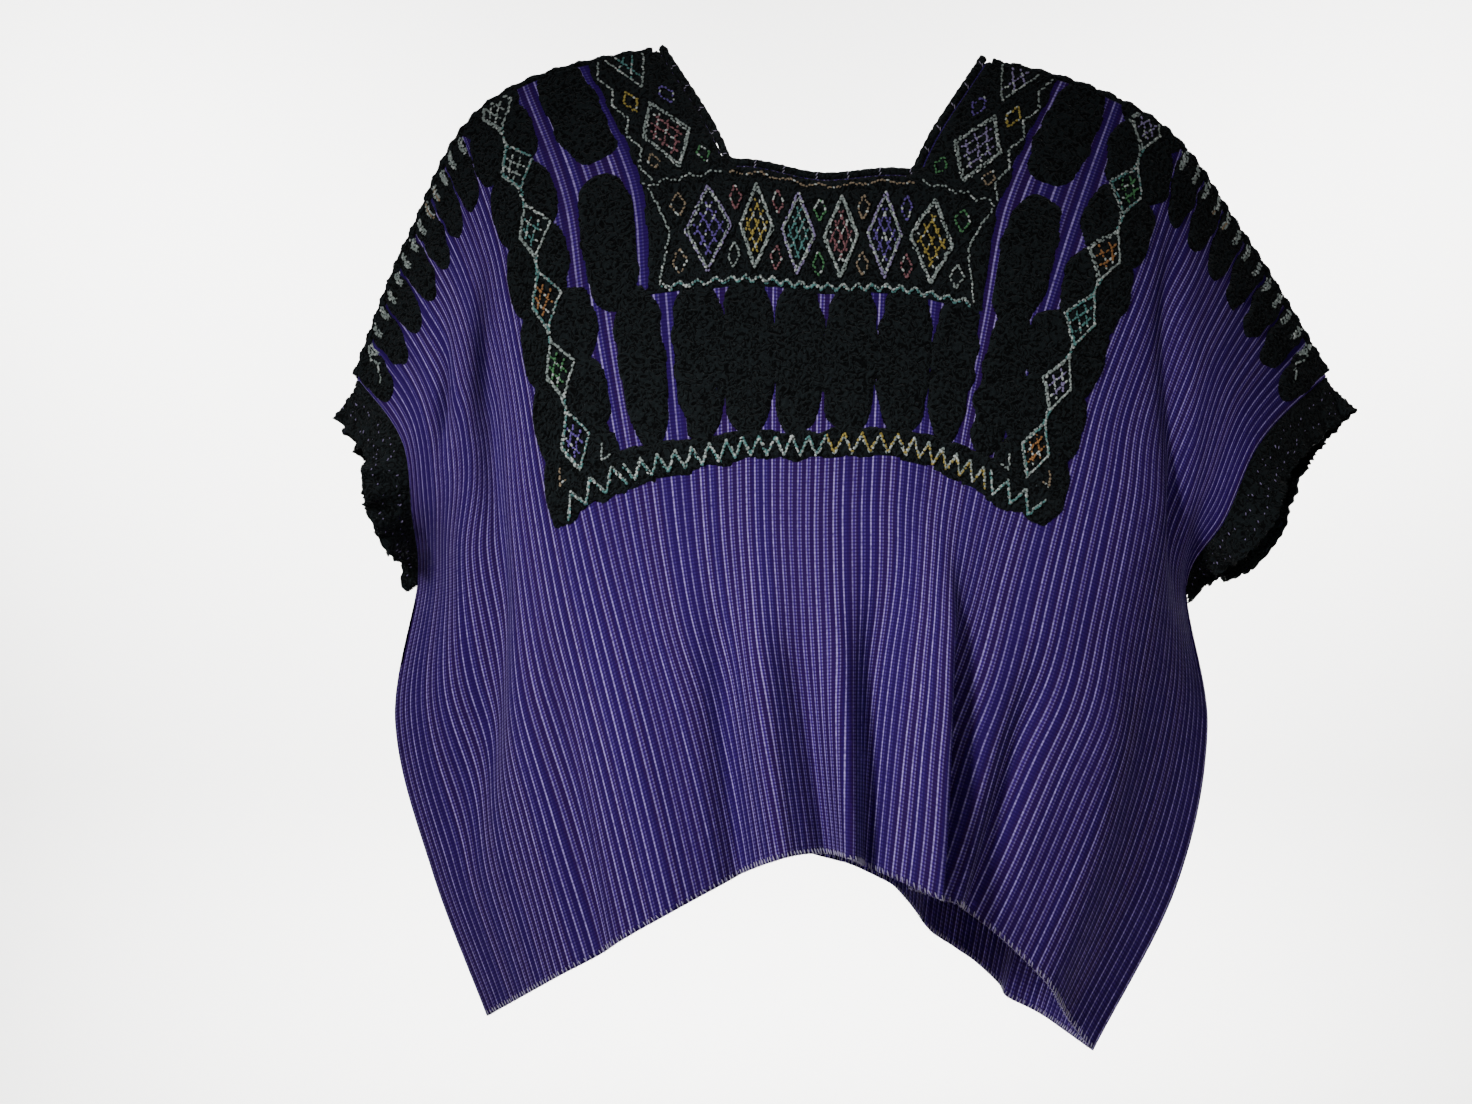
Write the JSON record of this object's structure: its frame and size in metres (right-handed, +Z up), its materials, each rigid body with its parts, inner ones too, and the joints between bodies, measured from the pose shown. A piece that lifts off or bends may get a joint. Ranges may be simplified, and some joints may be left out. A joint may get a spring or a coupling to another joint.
{
  "type": "mexican huipil blouse",
  "caption": "Wide woven blouse with an open square neck and short open sleeves, thickly embroidered over the yoke, in its worn hollow form.",
  "frame": {"origin": "between the shoulders, at the height where the shoulder joins meet the neck, where the wearer's shoulders hold the blouse", "axes": "+Z up, -Y the front of the blouse, +X its right side as seen from the front"},
  "size_m": [0.7568, 0.307, 0.7557],
  "materials": {
    "violet_cloth": "matt ribbed cotton with fine pale warp stripes",
    "black_plush": "matt looped yarn with metallic line stitching",
    "black_yarn": "matt looped and whipped yarn"
  },
  "bodies": {
    "root": {"front_panel": "violet_cloth", "back_panel": "violet_cloth", "shoulder_seam_left": "black_plush", "shoulder_seam_right": "black_plush", "sleeve_band_left": "black_yarn", "sleeve_band_right": "black_yarn", "neck_edging": "black_yarn"}
  },
  "joints": []
}
